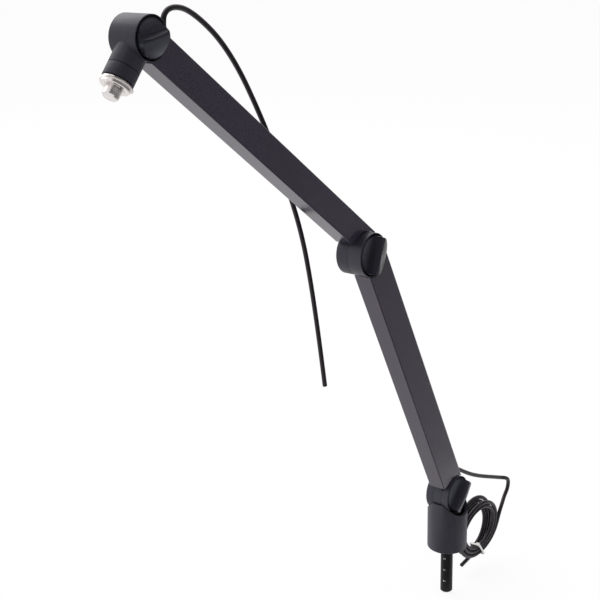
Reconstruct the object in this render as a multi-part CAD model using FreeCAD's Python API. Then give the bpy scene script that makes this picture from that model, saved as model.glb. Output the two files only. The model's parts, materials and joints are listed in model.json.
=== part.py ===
import FreeCAD, Part
import math
import os

from FreeCAD import Placement, Rotation, Vector

# A microphone boom arm: a spigot base, two box-section arms on clamp joints and a swivelling stud.
# X is the way the boom reaches, Y the side of the knobs, Z up. The origin is on the spigot's axis,
# at the underside of the cup. Lengths are in millimetres and angles in degrees.

# Spigot and pan bearing
spigot_diameter = 16.0
spigot_reach = 66.6
spigot_chamfer = 1.5
pan_journal_diameter = 15.0
pan_neck = 0.4
dimple_count = 3
dimple_first = 16.0
dimple_pitch = 16.5
dimple_diameter = 5.0
dimple_depth = 1.8
dimple_bearing = 13.0
bush_wall = 2.5
thrust_thickness = 1.5
pan_screw_diameter = 6.0
pan_screw_grip = 14.0
pan_washer_diameter = 18.0
pan_washer_thickness = 1.6

# Cup and fork
cup_diameter = 52.0
axis_over_rim = 8.0
cup_wall = 4.0
cup_edge_round = 2.5
cup_web = 6.5
cup_well_diameter = 28.0
screw_well = 10.0
fork_drop = 7.0
fork_foot = 6.0
fork_stem_width = 22.0
fork_screw_diameter = 4.0
fork_screw_grip = 10.0
fork_screw_circle = 34.0
saddle_gap = 1.0

# Joint drums
base_axis_height = 78.0
base_far_face = -17.6
base_length = 32.6
base_tongue_centre = -1.0
base_tongue_width = 12.0
joint_radius = 25.0
elbow_length = 33.5
elbow_far_band = 15.7
head_radius = 20.5
head_length = 32.4
head_tongue_width = 10.0
head_tongue_radius = 15.0
head_neck_height = 10.0
drum_edge_round = 0.6

# Arms
tube_width = 22.5
tube_wall = 2.5
tube_corner = 1.2
lower_height = 39.4
lower_reach = 410.2
lower_lean = 63.2
lower_centre = 2.4
lower_side = 1.2
lower_neck = 1.0
lower_front_trim = 29.5
upper_height = 31.0
upper_reach = 418.2
upper_rise = 13.2
upper_lean = 37.9
upper_overhang = 2.0
upper_square_end = 16.5
upper_under_trim = 30.0
plug_length = 34.0
plug_channel = 12.0
tube_screw_diameter = 5.0
tube_screw_grip = 8.0
tube_screw_spacing = 16.0

# Clamp axles, knobs and washers
axle_diameter = 8.0
axle_head_width = 13.0
axle_head_height = 5.3
axle_cap_diameter = 20.0
axle_cap_thickness = 2.0
axle_bush_wall = 2.0
friction_washer_diameter = 36.0
head_friction_washer_diameter = 26.0
friction_recess = 0.9
rim_wall = 1.0
knob_depth = 6.5
knob_gap = 1.7
knob_flat_drop = 0.6
knob_insert_diameter = 14.0
knob_insert_cover = 1.4
head_fin_share = 0.34
elbow_fin_share = 0.42
base_fin_share = 0.48
fin_taper = 0.94
fin_offset = 1.5
fin_top = 1.4
fin_scoop = 15.0
fin_dome = 110.0
ramp_edge = 0.8
base_fin_turn = 132.9
elbow_fin_turn = 110.0
head_fin_turn = 171.3
spring_diameter = 16.0
spring_thickness = 0.6
spring_rise = 0.3

# Collar, swivel, ring and stud
collar_drop = 50.5
collar_radius = 14.7
collar_length = 32.0
head_travel = 85.0
sleeve_length = 12.0
swivel_journal_diameter = 18.0
swivel_journal_length = 9.0
swivel_bush_wall = 1.5
retainer_diameter = 21.0
retainer_thickness = 1.2
retainer_groove_diameter = 14.0
ring_radius = 14.7
ring_thickness = 6.2
ring_chamfer = 0.5
ring_stand_off = 0.6
stud_diameter = 15.8
stud_reach = 9.8
stud_chamfer = 1.4
stud_relief_width = 0.6
stud_relief_depth = 0.7

# Leads
lead_diameter = 5.3
lead_bush_diameter = 9.0
lead_bush_out = 4.0
lead_bush_in = 4.0
exit_angle = 45.0
upper_exit_run = 17.0
lower_exit_run = 11.0
coil_entry_run = 10.5
lower_exit = 22.0
upper_exit = 29.0
run_bend_depth = 10.0
run_end_gap = 42.0
coil_centre_x = -74.5
coil_centre_z = -5.5
coil_layer_y = 5.0
coil_radius = 43.0
coil_pitch = 5.8
coil_loops_per_layer = 2.5
coil_start = 10.0
coil_end = 78.0
coil_fan = 8.7
coil_fan_foot = 130.0
coil_lean_up = 0.1
coil_lean_across = -0.117
coil_tail = 15.0
tie_angle = 77.0
tie_skew = 24.0
tie_width = 2.6
tie_thickness = 0.8
tie_slack = 0.8
tie_head = 3.6

# Clearances
slide_fit = 0.05
press_fit = 0.02
seam_gap = 0.3
cope_gap = 0.6
running_gap = 0.4
screw_clearance = 0.3

# Points of the leads between their ends, chosen along the photographed curves
upper_lead_points = [
    (470.0, -10.8, 731.6),
    (456.0, -12.8, 733.4),
    (437.0, -15.8, 729.2),
    (411.0, -19.6, 715.0),
    (385.0, -23.2, 696.0),
    (356.0, -27.4, 666.5),
    (329.0, -30.2, 628.0),
    (299.0, -32.0, 577.0),
    (270.0, -32.6, 515.0),
    (253.0, -33.0, 470.0),
    (241.2, -33.0, 421.0),
    (231.6, -33.0, 371.0),
    (223.6, -33.0, 324.0),
    (218.3, -33.0, 290.2),
]
lower_lead_points = [
    (-36.7, 1.7, 96.3),
    (-54.6, 2.6, 85.4),
    (-72.7, 3.5, 75.3),
    (-90.7, 4.3, 66.5),
    (-108.5, 5.2, 58.5),
    (-125.9, 6.2, 51.2),
    (-136.5, 9.9, 47.6),
    (-142.8, 10.3, 42.2),
    (-146.0, 9.6, 34.8),
    (-145.3, 8.6, 26.4),
    (-139.5, 7.4, 17.6),
    (-127.6, 10.6, 11.4),
]
coil_tail_point = (-45.9, -4.0, -51.8)

# Derived places
spigot_radius = spigot_diameter / 2
pan_journal_radius = pan_journal_diameter / 2
cup_radius = cup_diameter / 2
saddle_radius = joint_radius + saddle_gap
cup_height = base_axis_height - axis_over_rim
fork_foot_top = base_axis_height - joint_radius - fork_drop
fork_seat = fork_foot_top - fork_foot
web_top = fork_seat - screw_well
web_bottom = web_top - cup_web
spigot_insertion = web_bottom - thrust_thickness
bush_top = spigot_insertion
axle_radius = axle_diameter / 2
base_near_face = base_far_face + base_length
base_tongue_far = base_tongue_centre - base_tongue_width / 2
base_tongue_near = base_tongue_centre + base_tongue_width / 2
lower_far = lower_side - tube_width / 2
lower_near = lower_side + tube_width / 2
lower_bottom = lower_centre - lower_height / 2
lower_top = lower_centre + lower_height / 2
elbow_near_face = lower_near
elbow_far_face = elbow_near_face - elbow_length
elbow_seam = elbow_far_face + elbow_far_band
upper_far = elbow_far_face
upper_near = upper_far + tube_width
upper_side = (upper_far + upper_near) / 2
upper_bottom = upper_rise - upper_height / 2
upper_top = upper_rise + upper_height / 2
head_far_face = upper_side - head_length / 2
head_near_face = upper_side + head_length / 2
lower_plug_end = lower_reach - joint_radius - lower_neck
lead_radius = lead_diameter / 2

base_place = Placement(Vector(0, 0, base_axis_height), Rotation())
lower_place = Placement(Vector(0, 0, base_axis_height), Rotation(Vector(0, 1, 0), -lower_lean))
elbow_centre = lower_place.multVec(Vector(lower_reach, 0, 0))
elbow_place = Placement(elbow_centre, Rotation())
upper_place = Placement(elbow_centre, Rotation(Vector(0, 1, 0), -upper_lean))
head_centre = upper_place.multVec(Vector(upper_reach, 0, upper_rise))
head_place = Placement(head_centre, Rotation(Vector(0, 1, 0), collar_drop - 90))
knob_head_place = Placement(head_centre, Rotation())


# Plain shapes
def block(x0, x1, y0, y1, z0, z1):
    return Part.makeBox(x1 - x0, y1 - y0, z1 - z0, Vector(x0, y0, z0))


def rod_y(radius, y0, y1, x=0.0, z=0.0):
    return Part.makeCylinder(radius, y1 - y0, Vector(x, y0, z), Vector(0, 1, 0))


def rod_z(radius, z0, z1, x=0.0, y=0.0):
    return Part.makeCylinder(radius, z1 - z0, Vector(x, y, z0))


def ring_y(outer, inner, y0, y1):
    return rod_y(outer, y0, y1).cut(rod_y(inner, y0, y1))


def ring_z(outer, inner, z0, z1):
    return rod_z(outer, z0, z1).cut(rod_z(inner, z0, z1))


def hexagon_y(width, y0, y1):
    corner = width / math.sqrt(3)
    points = [Vector(corner * math.cos(math.radians(60 * i)), y0, corner * math.sin(math.radians(60 * i)))
              for i in range(7)]
    return Part.Face(Part.makePolygon(points)).extrude(Vector(0, y1 - y0, 0))


def sector_y(radius, y0, y1, first, last):
    """Slice of a rod along Y between two angles, counted from +X towards +Z."""
    slice_z = Part.makeCylinder(radius, y1 - y0, Vector(0, 0, 0), Vector(0, 0, 1), last - first)
    slice_z.rotate(Vector(0, 0, 0), Vector(0, 0, 1), -last)
    slice_z.rotate(Vector(0, 0, 0), Vector(1, 0, 0), -90)
    slice_z.translate(Vector(0, y0, 0))
    return slice_z


def spun(profile, axis):
    """Turned solid from a closed outline."""
    face = Part.Face(Part.makePolygon(profile + profile[:1]))
    return face.revolve(Vector(0, 0, 0), axis, 360)


def round_rims(shape, radius, test):
    """Rounds the circular edges that the test picks by their centre and radius."""
    edges = [e for e in shape.Edges if isinstance(e.Curve, Part.Circle) and test(e.Curve.Center, e.Curve.Radius)]
    return shape.makeFillet(radius, edges)


def joined(*shapes):
    whole = shapes[0].fuse(list(shapes[1:]))
    return whole.removeSplitter()


def placed(shape, place):
    moved = shape.copy()
    moved.Placement = place.multiply(moved.Placement)
    return moved


# Clamp joint pieces, made about a Y axis
def axle(far_face, near_face):
    head_bottom = far_face + axle_cap_thickness
    tip = near_face - knob_flat_drop - knob_insert_cover - running_gap
    head = hexagon_y(axle_head_width, head_bottom, head_bottom + axle_head_height)
    shank = rod_y(axle_radius, head_bottom, tip)
    return joined(head, shank)


def axle_cap(far_face):
    return rod_y(axle_cap_diameter / 2, far_face, far_face + axle_cap_thickness)


def axle_pocket(far_face):
    """Room for the bolt head and its cap in a joint's far face."""
    floor = far_face + axle_cap_thickness
    cap_seat = rod_y(axle_cap_diameter / 2 + press_fit, far_face, floor)
    head_seat = hexagon_y(axle_head_width + 2 * press_fit, floor, floor + axle_head_height)
    return cap_seat.fuse(head_seat)


def knob_recess(near_face, radius):
    """Room for the knob and the disc springs in a joint's near face."""
    floor = near_face - knob_depth
    spring_seat = floor - spring_stack() + running_gap
    dish = rod_y(radius - rim_wall, floor, near_face)
    return dish.fuse(rod_y(spring_diameter / 2 + screw_clearance, spring_seat, floor))


def spring_stack():
    return 2 * (spring_thickness + spring_rise) + slide_fit


def disc_springs(near_face):
    bottom = near_face - knob_depth - spring_stack() + running_gap
    inner = axle_radius + screw_clearance
    outer = spring_diameter / 2
    low = [Vector(inner, bottom, 0), Vector(outer, bottom + spring_rise, 0)]
    high = [Vector(p.x, p.y + spring_thickness, 0) for p in reversed(low)]
    lower_spring = spun(low + high, Vector(0, 1, 0))
    middle = bottom + spring_rise + spring_thickness
    upper_spring = lower_spring.mirror(Vector(0, middle, 0), Vector(0, 1, 0))
    return Part.makeCompound([lower_spring, upper_spring])


def knob(near_face, radius, fin_turn, share):
    """Disc with a ramp that climbs to a domed fin, and a scoop and a flat on the fin's other side."""
    disc_radius = radius - rim_wall - knob_gap
    bottom = near_face - knob_depth + running_gap
    fin_height = radius * share
    crest = near_face + fin_height
    flat = near_face - knob_flat_drop
    foot_x = fin_offset + fin_scoop
    rise = crest - flat
    scoop_radius = (fin_scoop ** 2 + rise ** 2) / (2 * rise)
    half_sweep = math.asin(min(1.0, fin_scoop / scoop_radius)) / 2
    middle = Vector(foot_x - scoop_radius * math.sin(half_sweep), 0,
                    flat + scoop_radius * (1 - math.cos(half_sweep)))
    outline = Part.Wire([
        Part.LineSegment(Vector(-radius, 0, bottom), Vector(-radius, 0, near_face + ramp_edge)).toShape(),
        Part.LineSegment(Vector(-radius, 0, near_face + ramp_edge),
                         Vector(fin_offset - fin_top, 0, crest)).toShape(),
        Part.LineSegment(Vector(fin_offset - fin_top, 0, crest), Vector(fin_offset, 0, crest)).toShape(),
        Part.Arc(Vector(fin_offset, 0, crest), middle, Vector(foot_x, 0, flat)).toShape(),
        Part.LineSegment(Vector(foot_x, 0, flat), Vector(radius, 0, flat)).toShape(),
        Part.LineSegment(Vector(radius, 0, flat), Vector(radius, 0, bottom)).toShape(),
        Part.LineSegment(Vector(radius, 0, bottom), Vector(-radius, 0, bottom)).toShape(),
    ])
    wedge = Part.Face(outline).extrude(Vector(0, 2 * radius, 0))
    wedge.translate(Vector(0, -radius, 0))
    skirt = rod_z(disc_radius, bottom, near_face)
    crown = Part.makeCone(disc_radius, disc_radius * fin_taper, fin_height, Vector(0, 0, near_face))
    body = wedge.common(joined(skirt, crown))
    body = body.common(Part.makeSphere(fin_dome, Vector(0, 0, crest - fin_dome)))
    body = body.cut(rod_z(knob_insert_diameter / 2 + press_fit, bottom, flat - knob_insert_cover))
    body.rotate(Vector(0, 0, 0), Vector(1, 0, 0), -90)
    body.rotate(Vector(0, 0, 0), Vector(0, 1, 0), 90 - fin_turn)
    return body


def knob_insert(near_face):
    bottom = near_face - knob_depth + running_gap
    top = near_face - knob_flat_drop - knob_insert_cover
    sleeve = rod_y(knob_insert_diameter / 2, bottom, top)
    return sleeve.cut(rod_y(axle_radius + slide_fit, bottom, top - running_gap / 2))


def axle_bush(y0, y1):
    return ring_y(axle_radius + axle_bush_wall, axle_radius + slide_fit, y0, y1)


def bush_bore(y0, y1):
    return rod_y(axle_radius + axle_bush_wall + press_fit, y0, y1)


def friction_washer(diameter, face, outward):
    """Washer that fills a shallow recess in a turning face and reaches over the seam."""
    inner = axle_radius + axle_bush_wall + screw_clearance
    start = face - outward * friction_recess
    end = face + outward * (seam_gap - slide_fit)
    return ring_y(diameter / 2, inner, min(start, end), max(start, end))


def friction_seat(diameter, face, outward):
    start = face - outward * friction_recess
    return rod_y(diameter / 2 + press_fit, min(start, face), max(start, face))


# Spigot and pan bearing
def make_spigot():
    pin = rod_z(spigot_radius, -spigot_reach, -pan_neck)
    pin = pin.makeChamfer(spigot_chamfer, [e for e in pin.Edges if isinstance(e.Curve, Part.Circle)
                                           and e.Curve.Center.z < -pan_neck - spigot_chamfer])
    body = joined(pin, rod_z(pan_journal_radius, -pan_neck, spigot_insertion))
    bearing = Rotation(Vector(0, 0, 1), dimple_bearing)
    for i in range(dimple_count):
        height = dimple_first + i * dimple_pitch - spigot_reach
        outside = bearing.multVec(Vector(spigot_radius, 0, 0)) + Vector(0, 0, height)
        inward = bearing.multVec(Vector(-1, 0, 0))
        cone = Part.makeCone(dimple_diameter / 2, 0, dimple_depth, outside, inward)
        mouth = Part.makeCylinder(dimple_diameter / 2, spigot_radius, outside, -inward)
        body = body.cut(cone.fuse(mouth))
    tapped = rod_z(pan_screw_diameter / 2 + press_fit, web_top - pan_screw_grip - screw_clearance, spigot_insertion)
    return body.cut(tapped)


def make_thrust_washer():
    return ring_z(pan_journal_radius, pan_screw_diameter / 2 + screw_clearance,
                  spigot_insertion, web_bottom - slide_fit)


def make_pan_washer():
    bottom = web_top + slide_fit
    return ring_z(pan_washer_diameter / 2, pan_screw_diameter / 2 + screw_clearance,
                  bottom, bottom + pan_washer_thickness)


def make_pan_screw():
    seat = web_top + slide_fit + pan_washer_thickness
    shank = rod_z(pan_screw_diameter / 2, web_top - pan_screw_grip, seat)
    head = rod_z(pan_screw_diameter * 0.8, seat, seat + pan_screw_diameter)
    socket = hexagon_y(pan_screw_diameter * 0.8, 0, pan_screw_diameter / 2)
    socket.rotate(Vector(0, 0, 0), Vector(1, 0, 0), 90)
    socket.translate(Vector(0, 0, seat + pan_screw_diameter / 2))
    return joined(shank, head).cut(socket)


def make_pan_bush():
    return ring_z(pan_journal_radius + bush_wall, pan_journal_radius + slide_fit, 0, bush_top)


def make_cup():
    body = rod_z(cup_radius, 0, cup_height)
    body = round_rims(body, cup_edge_round, lambda centre, radius: centre.z < cup_edge_round)
    body = body.cut(rod_z(pan_journal_radius + bush_wall + press_fit, 0, web_bottom))
    body = body.cut(rod_z(pan_screw_diameter / 2 + screw_clearance, web_bottom, web_top))
    body = body.cut(rod_z(cup_well_diameter / 2, web_top, fork_seat))
    body = body.cut(rod_z(cup_radius - cup_wall, fork_seat, cup_height))
    body = body.cut(rod_y(saddle_radius, -cup_radius, cup_radius, 0, base_axis_height))
    for x, y in fork_screw_places():
        body = body.cut(rod_z(fork_screw_diameter / 2 + press_fit, fork_foot_top - fork_screw_grip, fork_seat, x, y))
    return body


def fork_screw_places():
    return [(fork_screw_circle / 2, base_tongue_centre), (-fork_screw_circle / 2, base_tongue_centre)]


def make_fork():
    foot = rod_z(cup_radius - cup_wall - press_fit, fork_seat, fork_foot_top)
    far_inner = base_tongue_far - seam_gap
    near_inner = base_tongue_near + seam_gap
    pieces = [foot]
    for y0, y1, stem_end in ((base_far_face, far_inner, base_far_face), (near_inner, base_near_face, base_near_face)):
        disc = placed(rod_y(joint_radius, y0, y1), base_place)
        pieces.append(round_rims(disc, drum_edge_round, lambda centre, radius: abs(centre.y - stem_end) < press_fit))
        stem = block(-fork_stem_width / 2, fork_stem_width / 2, y0, y1, fork_seat, base_axis_height)
        pieces.append(stem.common(rod_z(cup_radius - cup_wall - press_fit, fork_seat, base_axis_height)))
    body = joined(*pieces)
    body = body.cut(placed(axle_pocket(base_far_face), base_place))
    body = body.cut(placed(knob_recess(base_near_face, joint_radius), base_place))
    body = body.cut(placed(rod_y(axle_radius + press_fit, base_far_face, base_near_face), base_place))
    for x, y in fork_screw_places():
        body = body.cut(rod_z(fork_screw_diameter / 2 + screw_clearance, fork_seat, fork_foot_top, x, y))
    return body


def make_fork_screws():
    screws = []
    for x, y in fork_screw_places():
        shank = rod_z(fork_screw_diameter / 2, fork_foot_top - fork_screw_grip, fork_foot_top, x, y)
        head = rod_z(fork_screw_diameter * 0.8, fork_foot_top, fork_foot_top + fork_screw_diameter * 0.6, x, y)
        screws.append(joined(shank, head))
    return Part.makeCompound(screws)


# Box-section tubes and what plugs into them, along local X from the joint's axis
def box_tube(x0, x1, y0, y1, z0, z1):
    outer = block(x0, x1, y0, y1, z0, z1)
    long_edges = [e for e in outer.Edges if abs(e.tangentAt(e.FirstParameter).x) > 0.9]
    outer = outer.makeFillet(tube_corner, long_edges)
    bore = block(x0, x1, y0 + tube_wall, y1 - tube_wall, z0 + tube_wall, z1 - tube_wall)
    return outer.cut(bore)


def exit_tool(radius, x, z, reach_in, reach_out, along):
    """Rod that leaves a tube's upper wall at the exit angle, leaning along the tube."""
    lean = math.radians(exit_angle)
    direction = Vector(along * math.cos(lean), 0, math.sin(lean))
    start = Vector(x, 0, z) - direction * reach_in
    return Part.makeCylinder(radius, reach_in + reach_out, start, direction)


def tube_screws(xs, outer_face, z):
    """Countersunk screws through a tube's far wall."""
    screws = []
    for x in xs:
        head = Part.makeCone(tube_screw_diameter, tube_screw_diameter / 2, tube_screw_diameter / 2,
                             Vector(x, outer_face, z), Vector(0, 1, 0))
        shank = rod_y(tube_screw_diameter / 2, outer_face, outer_face + tube_screw_grip, x, z)
        socket = rod_y(tube_screw_diameter * 0.3, outer_face, outer_face + tube_screw_diameter * 0.3, x, z)
        screws.append(joined(head, shank).cut(socket))
    return screws


def screw_holes(xs, outer_face, z):
    holes = []
    for x in xs:
        sink = Part.makeCone(tube_screw_diameter + press_fit, tube_screw_diameter / 2 + press_fit,
                             tube_screw_diameter / 2, Vector(x, outer_face, z), Vector(0, 1, 0))
        through = rod_y(tube_screw_diameter / 2 + press_fit, outer_face,
                        outer_face + tube_screw_grip + screw_clearance, x, z)
        holes.append(sink.fuse(through))
    return holes[0].fuse(holes[1:])


def pair_of_places(start, direction):
    first = start + direction * (plug_length - tube_screw_spacing) / 2
    return [first, first + direction * tube_screw_spacing]


lower_plug_top = lower_top - tube_wall - plug_channel
lower_plug_bottom = lower_bottom + tube_wall + slide_fit
lower_plug_start = joint_radius + cope_gap + lower_neck
lower_screw_z = (lower_plug_top + lower_plug_bottom) / 2
lower_screws_base = pair_of_places(lower_plug_start, 1)
lower_screws_elbow = pair_of_places(lower_plug_end, -1)
upper_plug_top = upper_top - tube_wall - plug_channel
upper_plug_bottom = upper_bottom + tube_wall + slide_fit
upper_plug_start = joint_radius + cope_gap
upper_plug_end = upper_reach - head_radius - cope_gap - lower_neck
upper_screw_z = (upper_plug_top + upper_plug_bottom) / 2
upper_screws_elbow = pair_of_places(upper_plug_start, 1)
upper_screws_head = pair_of_places(upper_plug_end, -1)


def slant_y(y0, y1, foot_x, foot_z, head_x, head_z):
    """Wedge along Y, below a slant from its foot up to its head, for trimming a tube's end."""
    low = foot_z - tube_wall
    points = [Vector(0, y0, low), Vector(foot_x, y0, low), Vector(foot_x, y0, foot_z), Vector(head_x, y0, head_z),
              Vector(0, y0, head_z), Vector(0, y0, low)]
    return Part.Face(Part.makePolygon(points)).extrude(Vector(0, y1 - y0, 0))


def lower_trim():
    return slant_y(lower_far - tube_wall, lower_near + tube_wall, lower_front_trim, lower_bottom,
                   joint_radius + cope_gap, 0)


def make_lower_tube():
    body = box_tube(0, lower_reach, lower_far, lower_near, lower_bottom, lower_top)
    for x in (0, lower_reach):
        body = body.cut(rod_y(joint_radius + cope_gap, lower_far - tube_wall, lower_near + tube_wall, x))
    body = body.cut(lower_trim())
    hole = exit_tool(lead_bush_diameter / 2 + press_fit, lower_exit, lower_top, tube_wall * 3, tube_wall * 3, -1)
    hole.translate(Vector(0, lower_side, 0))
    body = body.cut(hole)
    body = body.cut(screw_holes(lower_screws_base + lower_screws_elbow, lower_far, lower_screw_z))
    return placed(body, lower_place)


def make_base_tongue():
    disc = rod_y(joint_radius, base_tongue_far, base_tongue_near)
    neck = block(0, lower_plug_start, base_tongue_far, base_tongue_near, lower_plug_bottom, lower_plug_top)
    plug = block(lower_plug_start, lower_plug_start + plug_length, lower_far + tube_wall + slide_fit,
                 lower_near - tube_wall - slide_fit, lower_plug_bottom, lower_plug_top)
    body = joined(disc, neck.cut(rod_y(joint_radius * 0.5, base_tongue_far, base_tongue_near)),
                  plug.cut(lower_trim()))
    body = body.cut(bush_bore(base_tongue_far, base_tongue_near))
    body = body.cut(friction_seat(friction_washer_diameter, base_tongue_far, -1))
    body = body.cut(friction_seat(friction_washer_diameter, base_tongue_near, 1))
    body = body.cut(screw_holes(lower_screws_base, lower_far, lower_screw_z))
    return placed(body, lower_place)


def make_base_friction_washers():
    far = friction_washer(friction_washer_diameter, base_tongue_far, -1)
    near = friction_washer(friction_washer_diameter, base_tongue_near, 1)
    return placed(Part.makeCompound([far, near]), base_place)


def make_elbow_near_knuckle():
    inner = elbow_seam + seam_gap / 2
    disc = rod_y(joint_radius, inner, elbow_near_face, lower_reach, 0)
    disc = round_rims(disc, drum_edge_round, lambda centre, radius: centre.y > elbow_near_face - press_fit)
    plug = block(lower_plug_end - plug_length, lower_reach, max(inner, lower_far + tube_wall + slide_fit),
                 lower_near - tube_wall - slide_fit, lower_plug_bottom, lower_plug_top)
    body = joined(disc, plug)
    recess = knob_recess(elbow_near_face, joint_radius)
    recess.translate(Vector(lower_reach, 0, 0))
    bore = bush_bore(inner, elbow_near_face - knob_depth)
    bore.translate(Vector(lower_reach, 0, 0))
    body = body.cut(recess).cut(bore)
    return placed(body.cut(screw_holes(lower_screws_elbow, lower_far, lower_screw_z)), lower_place)


def make_lower_screws():
    screws = tube_screws(lower_screws_base + lower_screws_elbow, lower_far, lower_screw_z)
    return placed(Part.makeCompound(screws), lower_place)


def make_elbow_far_knuckle():
    inner = elbow_seam - seam_gap / 2
    disc = rod_y(joint_radius, elbow_far_face, inner)
    disc = round_rims(disc, drum_edge_round, lambda centre, radius: centre.y < elbow_far_face + press_fit)
    plug_far = upper_far + tube_wall + slide_fit
    neck = block(0, upper_plug_start + plug_length, plug_far, inner, upper_plug_bottom, upper_plug_top)
    body = joined(disc, neck)
    body = body.cut(axle_pocket(elbow_far_face))
    body = body.cut(rod_y(axle_radius + press_fit, elbow_far_face, inner))
    body = body.cut(friction_seat(friction_washer_diameter, inner, 1))
    body = body.cut(screw_holes(upper_screws_elbow, upper_far, upper_screw_z))
    return placed(body, upper_place)


def make_upper_tube():
    body = box_tube(-upper_overhang, upper_reach - upper_square_end, upper_far, upper_near, upper_bottom, upper_top)
    body = body.cut(rod_y(joint_radius + cope_gap, upper_far - tube_wall, upper_near + tube_wall))
    body = body.cut(rod_y(head_radius + cope_gap, upper_far - tube_wall, upper_near + tube_wall,
                          upper_reach, upper_rise))
    body = body.cut(slant_y(upper_far - tube_wall, upper_near + tube_wall, upper_under_trim, upper_bottom,
                            joint_radius + cope_gap, upper_bottom + tube_wall))
    hole = exit_tool(lead_bush_diameter / 2 + press_fit, upper_reach - upper_exit, upper_top,
                     tube_wall * 3, tube_wall * 3, 1)
    hole.translate(Vector(0, upper_side, 0))
    body = body.cut(hole)
    body = body.cut(screw_holes(upper_screws_elbow + upper_screws_head, upper_far, upper_screw_z))
    return placed(body, upper_place)


def make_head_tongue():
    y0 = upper_side - head_tongue_width / 2
    y1 = upper_side + head_tongue_width / 2
    disc = rod_y(head_tongue_radius, y0, y1, upper_reach, upper_rise)
    neck = block(upper_plug_end, upper_reach, y0, y1,
                 upper_rise - head_neck_height / 2, upper_rise + head_neck_height / 2)
    plug = block(upper_plug_end - plug_length, upper_plug_end, upper_far + tube_wall + slide_fit,
                 upper_near - tube_wall - slide_fit, upper_plug_bottom, upper_plug_top)
    body = joined(disc, neck, plug)
    about_head = Vector(upper_reach, 0, upper_rise)
    bore = bush_bore(y0, y1)
    far_seat = friction_seat(head_friction_washer_diameter, y0, -1)
    near_seat = friction_seat(head_friction_washer_diameter, y1, 1)
    for tool in (bore, far_seat, near_seat):
        tool.translate(about_head)
        body = body.cut(tool)
    body = body.cut(screw_holes(upper_screws_head, upper_far, upper_screw_z))
    return placed(body, upper_place)


def make_upper_screws():
    screws = tube_screws(upper_screws_elbow + upper_screws_head, upper_far, upper_screw_z)
    return placed(Part.makeCompound(screws), upper_place)


def make_head_friction_washers():
    far = friction_washer(head_friction_washer_diameter, upper_side - head_tongue_width / 2, -1)
    near = friction_washer(head_friction_washer_diameter, upper_side + head_tongue_width / 2, 1)
    return placed(Part.makeCompound([far, near]), knob_head_place)


# Head housing and swivel, along local -Z from the head's axis
swivel_top = -collar_length
sleeve_bottom = -collar_length - running_gap - sleeve_length
journal_top = -collar_length + swivel_journal_length
ring_top = sleeve_bottom - ring_stand_off
ring_bottom = ring_top - ring_thickness
stud_top = ring_bottom - stud_relief_width
stud_bottom = ring_bottom - stud_reach


def make_head_housing():
    drum = rod_y(head_radius, head_far_face, head_near_face)
    drum = round_rims(drum, drum_edge_round, lambda centre, radius: True)
    collar = rod_z(collar_radius, -collar_length, 0, 0, upper_side)
    body = joined(drum, collar)
    y0 = upper_side - head_tongue_width / 2 - seam_gap
    y1 = upper_side + head_tongue_width / 2 + seam_gap
    arm_angle = 90 + upper_lean + collar_drop
    spread = math.degrees(math.asin((head_neck_height / 2 + running_gap) / head_tongue_radius))
    body = body.cut(rod_y(head_tongue_radius + running_gap, y0, y1))
    body = body.cut(sector_y(head_radius * 2, y0, y1, arm_angle - head_travel - spread, arm_angle + spread))
    body = body.cut(axle_pocket(head_far_face))
    body = body.cut(knob_recess(head_near_face, head_radius))
    body = body.cut(rod_y(axle_radius + press_fit, head_far_face, head_near_face))
    bush_outer = swivel_journal_diameter / 2 + swivel_bush_wall
    body = body.cut(rod_z(bush_outer + press_fit, swivel_top, journal_top, 0, upper_side))
    well = retainer_diameter / 2 + running_gap
    body = body.cut(rod_z(well, journal_top, -head_tongue_radius, 0, upper_side))
    return placed(body, head_place)


def make_swivel_bush():
    bush = ring_z(swivel_journal_diameter / 2 + swivel_bush_wall, swivel_journal_diameter / 2 + slide_fit,
                  swivel_top, journal_top)
    bush.translate(Vector(0, upper_side, 0))
    return placed(bush, head_place)


def make_swivel_sleeve():
    top = swivel_top - running_gap
    sleeve = rod_z(collar_radius, sleeve_bottom, top)
    sleeve = sleeve.cut(rod_z(swivel_journal_diameter / 2 + press_fit, sleeve_bottom, top))
    sleeve.translate(Vector(0, upper_side, 0))
    return placed(sleeve, head_place)


def make_mic_stud():
    neck = retainer_groove_diameter / 2
    core = rod_z(swivel_journal_diameter / 2, ring_bottom, journal_top + retainer_thickness)
    groove = ring_z(swivel_journal_diameter / 2, neck, journal_top + slide_fit, journal_top + retainer_thickness)
    relief = rod_z(stud_diameter / 2 - stud_relief_depth, stud_top, ring_bottom)
    stud = rod_z(stud_diameter / 2, stud_bottom, stud_top)
    stud = stud.makeChamfer(stud_chamfer, [e for e in stud.Edges if isinstance(e.Curve, Part.Circle)
                                           and e.Curve.Center.z < stud_bottom + press_fit])
    body = joined(core.cut(groove), relief, stud)
    body.translate(Vector(0, upper_side, 0))
    return placed(body, head_place)


def make_swivel_retainer():
    neck = retainer_groove_diameter / 2
    clip = ring_z(retainer_diameter / 2, neck + press_fit, journal_top + 2 * slide_fit,
                  journal_top + retainer_thickness)
    clip.translate(Vector(0, upper_side, 0))
    return placed(clip, head_place)


def make_lock_ring():
    ring = rod_z(ring_radius, ring_bottom, ring_top)
    ring = ring.makeChamfer(ring_chamfer, [e for e in ring.Edges if isinstance(e.Curve, Part.Circle)])
    ring = ring.cut(rod_z(swivel_journal_diameter / 2 + slide_fit, ring_bottom, ring_top))
    ring.translate(Vector(0, upper_side, 0))
    return placed(ring, head_place)


# Leads
def corner_radius(before, corner, after):
    first = corner - before
    second = after - corner
    turn = first.getAngle(second)
    return 0.45 * min(first.Length, second.Length) / math.tan(turn / 2)


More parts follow.
